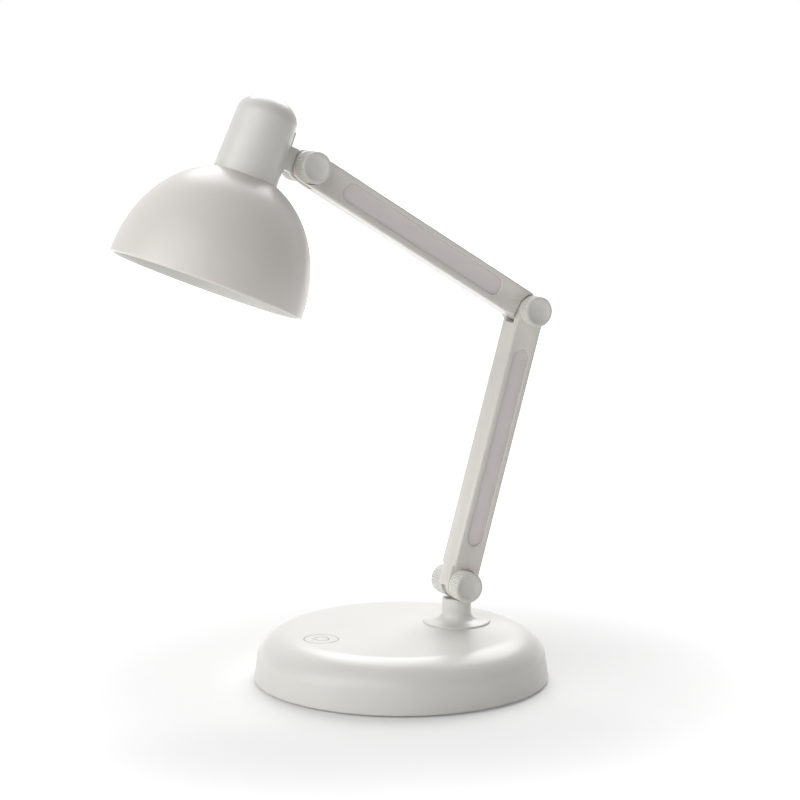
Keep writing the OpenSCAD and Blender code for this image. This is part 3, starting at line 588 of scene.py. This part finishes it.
def ring_outline(radius, width, start, end, steps=64, end_steps=6):
    """Outline of an arc band with rounded ends, from start to end in degrees."""
    outer, inner = radius, radius - width
    mid, half = radius - width / 2, width / 2
    points = []
    for k in range(steps + 1):
        a = math.radians(start + (end - start) * k / steps)
        points.append((outer * math.cos(a), outer * math.sin(a)))
    for k in range(1, end_steps):
        a, t = math.radians(end), math.pi * k / end_steps
        points.append((mid * math.cos(a) + half * math.cos(a + t),
                       mid * math.sin(a) + half * math.sin(a + t)))
    for k in range(steps + 1):
        a = math.radians(end + (start - end) * k / steps)
        points.append((inner * math.cos(a), inner * math.sin(a)))
    for k in range(1, end_steps):
        a, t = math.radians(start), math.pi + math.pi * k / end_steps
        points.append((mid * math.cos(a) + half * math.cos(a + t),
                       mid * math.sin(a) + half * math.sin(a + t)))
    return points


def rounded_box_outline(width, height, radius, steps=8):
    """Outline of a box with rounded corners, round its middle."""
    points = []
    for cx, cy, start in ((1, 1, 0), (-1, 1, 90), (-1, -1, 180), (1, -1, 270)):
        for k in range(steps + 1):
            a = math.radians(start + 90 * k / steps)
            points.append((cx * (width / 2 - radius) + radius * math.cos(a),
                           cy * (height / 2 - radius) + radius * math.sin(a)))
    return points


class LAMP_OT_base(bpy.types.Operator):
    """Builds the round shell of the base, with its charging port and touch key"""

    bl_idname = "lamp.base"
    bl_label = "Base"
    bl_options = {"REGISTER", "UNDO"}

    def execute(self, context):
        s = context.scene.lamp_base
        shell = lathe("base_shell_round", base_profile(s), 256)
        # opening round the charging socket, in the side next to the stem
        low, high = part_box("usb_socket")
        gap, corner, reach, run = 0.3 * MM, 1.7 * MM, 5 * MM, 20 * MM
        port = prism("port", rounded_box_outline(
            high.z - low.z + 2 * gap, high.y - low.y + 2 * gap, corner), 0.0, run)
        port.transform(Matrix.Translation((high.x - reach, 0.0, (low.z + high.z) / 2))
                       @ Matrix.Rotation(math.pi / 2, 4, "Y"))
        outward(port)
        # groove of the touch ring, as wide as the lines of the on mark
        line, groove = 0.55 * MM, 0.12 * MM
        inside, floor, over = s.key_radius - line, s.height - groove, s.height + MM
        ring = lathe("groove", [
            (inside, floor), (s.key_radius, floor), (s.key_radius, over), (inside, over)], 96, True)
        key_place = Matrix.Translation((-s.key_x, 0.0, 0.0))
        ring.transform(key_place)
        # hole under the stem's flange
        hole_radius, through = 5.1 * MM, 5 * MM
        hole = lathe("stem_hole", [
            (0.0, s.height - through), (hole_radius, s.height - through),
            (hole_radius, s.height + through), (0.0, s.height + through)], 48)
        hole.transform(Matrix.Translation((BASE_HINGE.x, 0.0, 0.0)))
        shell = cut(shell, [port, ring, hole])
        smooth(shell, 30)
        finished("base_shell_round", shell, "base", [FINISHES["paint"]],
                 ["base_shell"])
        # the ring's print lies in its groove, and the on mark in its middle
        slack, sunk, proud = 0.05 * MM, floor - 0.02 * MM, floor + 0.03 * MM
        ink = lathe("touch_ring_print", [
            (inside + slack, sunk), (s.key_radius - slack, sunk),
            (s.key_radius - slack, proud), (inside + slack, proud)], 96, True)
        ink.transform(key_place)
        smooth(ink)
        finished("touch_ring_print", ink, "base", [FINISHES["ink"]])
        mark_radius, film = 3.6 * MM, 0.02 * MM
        bar_length, bar_corner, bar_place = 3.2 * MM, 0.26 * MM, 3.1 * MM
        arc = prism("on_mark_arc", ring_outline(mark_radius, line, -55, 235),
                    s.height - film, s.height + film)
        bar = prism("on_mark_bar", rounded_box_outline(line, bar_length, bar_corner),
                    s.height - film, s.height + film)
        bar.transform(Matrix.Translation((0.0, -bar_place, 0.0)))
        for name, mark in (("on_mark_arc", arc), ("on_mark_bar", bar)):
            mark.transform(key_place @ Matrix.Rotation(math.radians(-90), 4, "Z"))
            outward(mark)
            finished(name, mark, "base", [FINISHES["ink"]])
        return {"FINISHED"}


class LAMP_OT_stem(bpy.types.Operator):
    """Builds the trumpet stem with its hinge tongue"""

    bl_idname = "lamp.stem"
    bl_label = "Stem"
    bl_options = {"REGISTER", "UNDO"}

    def execute(self, context):
        mesh = from_cad("stem_trumpet", "stem", bevel=0.18 * MM)
        finished("stem_trumpet", mesh, "base", [FINISHES["paint"]], ["stem"])
        return {"FINISHED"}


# ---------- arms ----------

def racetrack(width, start, end, steps=14):
    """(x, z) points round a slot with round ends that runs up from one height to another."""
    r = width / 2
    turns = [math.pi * k / steps for k in range(steps + 1)]
    return ([(r * math.cos(a), end - r + r * math.sin(a)) for a in turns]
            + [(-r * math.cos(a), start + r - r * math.sin(a)) for a in turns])


def cover_plate(name, s, start, end):
    """A pocket's cover: its boss sits in the arm's seat and its skin fills the pocket."""
    floor = s.pocket_depth - s.thickness / 2
    clearance = 0.02 * MM
    off_floor, skin = floor - clearance, floor - s.skin
    # (inset from the pocket's wall, y) from the boss's back to the skin's face
    levels = [(s.boss_inset, floor + s.boss), (s.boss_inset, off_floor),
              (s.gap, off_floor), (s.gap, skin + s.edge)]
    levels += [(s.gap + s.edge * (1 - math.cos(a)), skin + s.edge * (1 - math.sin(a)))
               for a in (math.pi / 6, math.pi / 3, math.pi / 2)]
    rings = [[(x, y, z) for x, z in racetrack(
        s.pocket_width - 2 * inset, start + inset, end - inset)] for inset, y in levels]
    count = len(rings[0])
    faces = [tuple(range(count)), tuple(range((len(rings) - 1) * count, len(rings) * count))]
    for low in range(0, (len(rings) - 1) * count, count):
        faces += [(low + k, low + (k + 1) % count, low + count + (k + 1) % count, low + count + k)
                  for k in range(count)]
    mesh = bpy.data.meshes.new(name)
    mesh.from_pydata(sum(rings, []), [], faces)
    return mesh


class LAMP_OT_arms(bpy.types.Operator):
    """Builds both arms with their pockets and covers"""

    bl_idname = "lamp.arms"
    bl_label = "Arms"
    bl_options = {"REGISTER", "UNDO"}

    def execute(self, context):
        s = context.scene.lamp_arms
        for arm, low, high, start in (("lower_arm", BASE_HINGE, ELBOW, s.pocket_end),
                                      ("upper_arm", ELBOW, HEAD_HINGE, s.elbow_pocket_end)):
            finished(arm + "_bar", from_cad(arm + "_bar", arm, bevel=0.16 * MM), arm,
                     [FINISHES["paint_with_warm_bounce"]], [arm])
            cover = cover_plate(arm + "_pocket_cover", s, start, (high - low).length - s.pocket_end)
            cover.transform(Matrix.Translation(low) @ Matrix.Rotation(lean(low, high), 4, "Y"))
            outward(cover)
            smooth(cover, 40)
            finished(arm + "_pocket_cover", cover, arm, [FINISHES["cover"]],
                     [arm + "_cover"])
        return {"FINISHED"}


# ---------- knobs ----------

def rib_tree():
    """Geometry nodes that press straight ribs into the rim of a turned knob."""
    tree = bpy.data.node_groups.new("knob_ribs", "GeometryNodeTree")
    face = tree.interface
    face.new_socket("Geometry", in_out="INPUT", socket_type="NodeSocketGeometry")
    for name, kind in (("Ribs", "NodeSocketFloat"), ("Rib Depth", "NodeSocketFloat"),
                       ("Radius", "NodeSocketFloat"), ("Rib Start", "NodeSocketFloat"),
                       ("Rib End", "NodeSocketFloat"), ("Finish", "NodeSocketMaterial")):
        face.new_socket(name, in_out="INPUT", socket_type=kind)
    face.new_socket("Geometry", in_out="OUTPUT", socket_type="NodeSocketGeometry")
    given = add(tree, "NodeGroupInput").outputs
    sides = add(tree, "ShaderNodeSeparateXYZ",
                {0: add(tree, "GeometryNodeInputPosition").outputs[0]}).outputs

    def maths(operation, *values):
        return add(tree, "ShaderNodeMath", dict(enumerate(values)), operation=operation).outputs[0]

    def ramp(value, low, high):
        return add(tree, "ShaderNodeMapRange", {
            "Value": value, "From Min": low, "From Max": high, "To Min": 0.0, "To Max": 1.0},
            interpolation_type="SMOOTHSTEP").outputs["Result"]

    angle = maths("ARCTAN2", sides["Y"], sides["X"])
    wave = maths("COSINE", maths("MULTIPLY", angle, given["Ribs"]))
    # crests are round and wide, valleys are narrow
    valley = maths("POWER", maths("MULTIPLY_ADD", wave, -0.5, 0.5), 1.6)
    out = add(tree, "ShaderNodeVectorMath", {
        0: add(tree, "ShaderNodeCombineXYZ", {"X": sides["X"], "Y": sides["Y"], "Z": 0.0}).outputs[0]},
        operation="LENGTH").outputs["Value"]
    # pressing starts 2.6 rib depths in from the radius and is full 0.4 in
    near_rim = ramp(out,
                    maths("SUBTRACT", given["Radius"], maths("MULTIPLY", given["Rib Depth"], 2.6)),
                    maths("SUBTRACT", given["Radius"], maths("MULTIPLY", given["Rib Depth"], 0.4)))
    fade = maths("MULTIPLY", given["Rib Depth"], 1.2)
    starts = ramp(sides["Z"], given["Rib Start"], maths("ADD", given["Rib Start"], fade))
    ends = ramp(sides["Z"], given["Rib End"], maths("SUBTRACT", given["Rib End"], fade))
    depth = maths("MULTIPLY", maths("MULTIPLY", maths("MULTIPLY", valley, near_rim),
                                    maths("MULTIPLY", starts, ends)), given["Rib Depth"])
    share = maths("DIVIDE", maths("MULTIPLY", depth, -1.0), maths("MAXIMUM", out, 1e-6))
    step = add(tree, "ShaderNodeCombineXYZ", {
        "X": maths("MULTIPLY", sides["X"], share), "Y": maths("MULTIPLY", sides["Y"], share),
        "Z": 0.0}).outputs[0]
    moved = add(tree, "GeometryNodeSetPosition", {"Geometry": given["Geometry"], "Offset": step})
    real = add(tree, "GeometryNodeRealizeInstances", {"Geometry": moved.outputs[0]})
    done = add(tree, "GeometryNodeSetMaterial",
               {"Geometry": real.outputs[0], "Material": given["Finish"]})
    add(tree, "NodeGroupOutput", {0: done.outputs[0]})
    return tree


def knob_profile(s, height, bored):
    """Section of a knob: seat at z = 0, a back knob's bore, rounded rim and bowl."""
    bowl, chamfer, dip_steps = s.radius - s.rim, 0.4 * MM, 14
    deep = height - s.bore_floor
    middle = ([(0.0, deep, 0.0), (s.bore_radius, deep, 0.0), (s.bore_radius, 0.0, 0.0)]
              if bored else [(0.0, 0.0, 0.0)])
    body = rounded_path(middle + [
        (s.radius - chamfer, 0.0, 0.1 * MM), (s.radius, chamfer, 0.25 * MM),
        (s.radius, height - s.bevel, 0.0)], 4)
    # rings up the side, for the ribs to be pressed into
    side_low, spacing = 0.6 * MM, 0.35 * MM
    side_run = height - s.bevel - side_low
    count = max(6, int(side_run / spacing))
    side = [(s.radius, side_low + side_run * k / count) for k in range(1, count)]
    edge = [(s.radius - s.bevel * (1 - math.cos(a)), height - s.bevel * (1 - math.sin(a)))
            for a in [math.pi / 2 * k / 8 for k in range(8)]]
    dip = [(bowl * t, height - s.dish * (1 - t ** s.bowl_curve))
           for t in [1 - k / dip_steps for k in range(2, dip_steps + 1)]]
    crest = rounded_path([
        (s.radius - s.bevel, height, 0.0), (bowl, height, 0.5 * MM), dip[0] + (0.0,)], 6)
    return body[:-1] + side + edge + crest[:-1] + dip


class LAMP_OT_knobs(bpy.types.Operator):
    """Builds the six ribbed thumb knobs of the three hinges"""

    bl_idname = "lamp.knobs"
    bl_label = "Thumb knobs"
    bl_options = {"REGISTER", "UNDO"}

    def execute(self, context):
        s = context.scene.lamp_knob
        tree = rib_tree()
        rib_start, rib_end_share = 0.25 * MM, 0.7
        sockets = {i.name: i.identifier for i in tree.interface.items_tree
                   if i.item_type == "SOCKET" and i.in_out == "INPUT"}
        for hinge, place in (("base", BASE_HINGE), ("elbow", ELBOW), ("head", HEAD_HINGE)):
            for side, way in (("front", -1.0), ("back", 1.0)):
                node = f"{hinge}_knob_{side}"
                low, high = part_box(node)
                height = high.y - low.y
                seat = high.y if way < 0 else low.y
                turned = new_object(f"{hinge}_thumb_knob_{side}", lathe(
                    node + "_turned", knob_profile(s, height, side == "back"), s.ribs * 10))
                modifier = turned.modifiers.new("ribs", "NODES")
                modifier.node_group = tree
                for key, value in (("Ribs", float(s.ribs)), ("Rib Depth", s.rib_depth),
                                   ("Radius", s.radius), ("Rib Start", rib_start),
                                   ("Rib End", height - s.bevel * rib_end_share),
                                   ("Finish", FINISHES["knob"])):
                    modifier[sockets[key]] = value
                name = turned.name
                mesh = baked(turned)
                mesh.transform(Matrix.Translation((place.x, seat, place.z))
                               @ Matrix.Rotation(-way * math.pi / 2, 4, "X"))
                smooth(mesh, 50)
                finished(name, mesh, f"{hinge}_{side}_knob", [FINISHES["knob"]],
                         [node])
        return {"FINISHED"}


# ---------- head ----------

def dome_radius(radius, height, full, z):
    """Radius of a dome at a height above its rim."""
    return radius * math.sqrt(max(0.0, 1.0 - (z / height) ** full))


def shade_profile(s):
    """Closed section of the shade: outside, rounded rim, inside, and the hole in its top."""
    # rings get closer together towards the top, by the power crowd
    steps, crowd, hole, top_wall = 56, 1.25, 5.8 * MM, 1.8 * MM
    outer = []
    for i in range(steps + 1):
        z = s.top * (1 - (1 - i / steps) ** crowd)
        outer.append((dome_radius(s.rim_radius, s.dome, s.full, z), z))
    inner = []
    inner_top = s.top - top_wall
    for i in range(steps + 1):
        z = inner_top * (1 - (1 - i / steps) ** crowd)
        inner.append((dome_radius(s.rim_radius - s.wall, s.dome - s.wall, s.full, z), z))
    edge = s.wall / 2
    middle = s.rim_radius - edge
    rim = [(middle + edge * math.cos(a), edge - edge * math.sin(a))
           for a in [math.pi * k / 10 for k in range(1, 10)]]
    outer = [p for p in outer if p[1] > edge]
    inner = [p for p in inner if p[1] > edge]
    return rim[::-1] + outer + [(hole, s.top), (hole, inner_top)] + inner[::-1]


def neck_profile(s):
    """Section of the neck: outer pole, dome, tapered side, open foot, and the inside."""
    foot, side_top = s.top, s.top + s.neck_height
    wall, steps = 1.8 * MM, 28
    outer = [(s.neck_high * math.sin(math.pi / 2 * k / steps) ** s.neck_full,
              side_top + s.neck_dome * math.cos(math.pi / 2 * k / steps)) for k in range(steps)]
    outer += rounded_path([
        (s.neck_high, side_top, 0.0), (s.neck_low, foot, 0.25 * MM),
        (s.neck_low - wall, foot, 0.2 * MM), (s.neck_high - wall, side_top, 0.0)], 4)
    inner = [((s.neck_high - wall) * max(0.0, math.cos(math.pi / 2 * k / steps)) ** s.neck_full,
              side_top + (s.neck_dome - wall) * math.sin(math.pi / 2 * k / steps))
             for k in range(1, steps + 1)]
    inner[-1] = (0.0, inner[-1][1])
    return [(0.0, side_top + s.neck_dome)] + outer[1:] + inner


class LAMP_OT_head(bpy.types.Operator):
    """Builds the shade, its domed neck and the hinge bracket"""

    bl_idname = "lamp.head"
    bl_label = "Head"
    bl_options = {"REGISTER", "UNDO"}

    def execute(self, context):
        s = context.scene.lamp_head
        place = head_place(s)
        shade = lathe("shade_dome", shade_profile(s), 256, True)
        shade.transform(place)
        outward(shade)
        smooth(shade, 40)
        obj = finished("shade_dome", shade, "head", [FINISHES["paint_with_warm_bounce"], FINISHES["inside"]],
                       ["shade"])
        # the faces that look towards the axis have the inside's finish
        axis = (place.to_3x3() @ Vector((0, 0, 1))).normalized()
        on_axis = place @ Vector((0, 0, s.top * 0.2))
        for face in obj.data.polygons:
            out = face.center - on_axis
            out -= axis * out.dot(axis)
            face.material_index = 1 if face.normal.dot(out) < 0 else 0
        neck = lathe("neck_cap_domed", neck_profile(s), 160)
        neck.transform(place)
        outward(neck)
        smooth(neck, 40)
        finished("neck_cap_domed", neck, "head", [FINISHES["paint"]], ["neck_cap"])
        bracket = from_cad("hinge_bracket", "head_bracket", bevel=0.15 * MM)
        finished("hinge_bracket", bracket, "head", [FINISHES["paint"]],
                 ["head_bracket"])
        return {"FINISHED"}


# ---------- CAD nodes that are shown as they are ----------

class LAMP_OT_inner_parts(bpy.types.Operator):
    """Gives every part that is shown as made its real finish"""

    bl_idname = "lamp.inner_parts"
    bl_label = "Inner parts"
    bl_options = {"REGISTER", "UNDO"}

    def execute(self, context):
        for node, finish in NODE_FINISHES.items():
            for slot in NODES[node].material_slots:
                slot.material = FINISHES[finish]
        return {"FINISHED"}


# ---------- stage ----------

CAMERA_PLACE = (-0.4925, -0.9405, 0.2924)
CAMERA_DIRECTION = (0.4577, 0.8752, -0.1567)


def studio_floor(base, near=0.09, far=0.36):
    """Pale paper sweep that fades to white away from the lamp and keeps its shadow near it; its glow
    is weaker near the lamp, which paints a grey shade round the base on top of the real shadow.
    """
    material, tree, shader, place = surface("studio_floor", base, 0.9)
    shader.inputs["Specular IOR Level"].default_value = 0.0
    fibre = spread(tree, noise(tree, place, 3 * MM, 4.0), 0.0, 1.0)
    tree.links.new(tinted(tree, fibre, shade_of(base, 0.995), base), shader.inputs["Base Color"])
    seen = add(tree, "ShaderNodeLightPath").outputs
    lift = add(tree, "ShaderNodeMath", {0: seen["Is Camera Ray"], 1: seen["Is Glossy Ray"]},
               operation="MAXIMUM").outputs[0]
    away = add(tree, "ShaderNodeVectorMath", {0: place}, operation="LENGTH").outputs["Value"]
    # the glow is weakest near the lamp: a painted grey shade round the base, over its real shadow;
    # further out it whitens the floor
    fade = add(tree, "ShaderNodeMapRange", {
        "Value": away, "From Min": near, "From Max": far, "To Min": 0.14, "To Max": 1.0},
        interpolation_type="SMOOTHSTEP").outputs["Result"]
    lift = add(tree, "ShaderNodeMath", {0: lift, 1: fade}, operation="MULTIPLY").outputs[0]
    glow = add(tree, "ShaderNodeEmission", {"Strength": lift})
    both = add(tree, "ShaderNodeAddShader", {0: shader.outputs[0], 1: glow.outputs[0]})
    output = next(n for n in tree.nodes if n.type == "OUTPUT_MATERIAL")
    tree.links.new(both.outputs[0], output.inputs["Surface"])
    return material


def area_lamp(name, place, size, power):
    """A round soft light, aimed at a point 0.1 m over the middle of the base."""
    data = bpy.data.lights.new(name, "AREA")
    data.shape, data.size, data.energy = "DISK", size, power
    obj = bpy.data.objects.new(name, data)
    bpy.context.scene.collection.objects.link(obj)
    obj.location = place
    aim = Vector((0.0, 0.0, 0.1))
    obj.rotation_euler = (aim - Vector(place)).to_track_quat("-Z", "Y").to_euler()


class LAMP_OT_stage(bpy.types.Operator):
    """Builds the floor, the world, the lamps and the camera"""

    bl_idname = "lamp.stage"
    bl_label = "Stage"
    bl_options = {"REGISTER", "UNDO"}

    def execute(self, context):
        s, scene = context.scene.lamp_stage, context.scene
        half, under = 6.0, 0.05 * MM
        mesh = bpy.data.meshes.new("floor")
        mesh.from_pydata([(-half, -half, 0), (half, -half, 0), (half, half, 0), (-half, half, 0)],
                         [], [(0, 1, 2, 3)])
        mesh.transform(Matrix.Translation((0, 0, -under)))
        floor = new_object("floor", mesh)
        mesh.materials.append(studio_floor(tuple(s.floor)))

        world = bpy.data.worlds.new("studio")
        scene.world = world
        world.use_nodes = True
        tree = world.node_tree
        tree.nodes.clear()
        seen = add(tree, "ShaderNodeLightPath").outputs
        direct = add(tree, "ShaderNodeMath", {0: seen["Is Camera Ray"], 1: seen["Is Glossy Ray"]},
                     operation="MAXIMUM").outputs[0]
        direct = add(tree, "ShaderNodeMath", {0: direct, 1: seen["Is Transmission Ray"]},
                     operation="MAXIMUM").outputs[0]
        strength = add(tree, "ShaderNodeMapRange", {
            "Value": direct, "To Min": s.world, "To Max": 1.0}).outputs["Result"]
        sky = add(tree, "ShaderNodeBackground", {"Color": (1.0, 1.0, 1.0, 1.0), "Strength": strength})
        add(tree, "ShaderNodeOutputWorld", {"Surface": sky.outputs[0]})

        area_lamp("key_lamp", (-1.7, -0.35, 1.35), 1.6, s.key)
        area_lamp("low_lamp", (-1.9, 0.1, 0.6), 1.4, s.low)
        area_lamp("front_lamp", (-1.4, -1.2, 1.2), 1.6, s.front)
        area_lamp("back_lamp", (1.1, 1.4, 2.0), 2.4, s.back)

        data = bpy.data.cameras.new("camera")
        data.sensor_width, data.lens = 36.0, s.lens
        data.clip_start, data.clip_end = 0.05, 50.0
        camera = bpy.data.objects.new("camera", data)
        scene.collection.objects.link(camera)
        camera.location = CAMERA_PLACE
        camera.rotation_euler = Vector(CAMERA_DIRECTION).to_track_quat("-Z", "Y").to_euler()
        scene.camera = camera
        scene.view_settings.view_transform = "Standard"
        return {"FINISHED"}


class LAMP_PT_panel(bpy.types.Panel):
    """Lists what builds each group of the lamp"""

    bl_label = "Desk Lamp"
    bl_idname = "LAMP_PT_panel"
    bl_space_type = "VIEW_3D"
    bl_region_type = "UI"
    bl_category = "Desk Lamp"

    def draw(self, context):
        column = self.layout.column(align=True)
        for operator in BUILDERS:
            column.operator(operator.bl_idname)


GROUPS = {"lamp_base": LampBaseSizes, "lamp_arms": LampArmSizes, "lamp_knob": LampKnobSizes,
          "lamp_head": LampHeadSizes, "lamp_finish": LampFinish, "lamp_stage": LampStage}
BUILDERS = (LAMP_OT_base, LAMP_OT_stem, LAMP_OT_arms, LAMP_OT_knobs, LAMP_OT_head,
            LAMP_OT_inner_parts, LAMP_OT_stage)


def register():
    """Registers the groups, the operators and the panel."""
    for name, group in GROUPS.items():
        bpy.utils.register_class(group)
        setattr(bpy.types.Scene, name, bpy.props.PointerProperty(type=group))
    for operator in BUILDERS:
        bpy.utils.register_class(operator)
    bpy.utils.register_class(LAMP_PT_panel)


def unregister():
    """Takes away what register adds."""
    bpy.utils.unregister_class(LAMP_PT_panel)
    for operator in reversed(BUILDERS):
        bpy.utils.unregister_class(operator)
    for name, group in reversed(list(GROUPS.items())):
        delattr(bpy.types.Scene, name)
        bpy.utils.unregister_class(group)


def main():
    register()
    make_finishes(bpy.context.scene.lamp_finish)
    bpy.ops.lamp.base()
    bpy.ops.lamp.stem()
    bpy.ops.lamp.arms()
    bpy.ops.lamp.knobs()
    bpy.ops.lamp.head()
    bpy.ops.lamp.inner_parts()
    bpy.ops.lamp.stage()


if __name__ == "__main__":
    main()
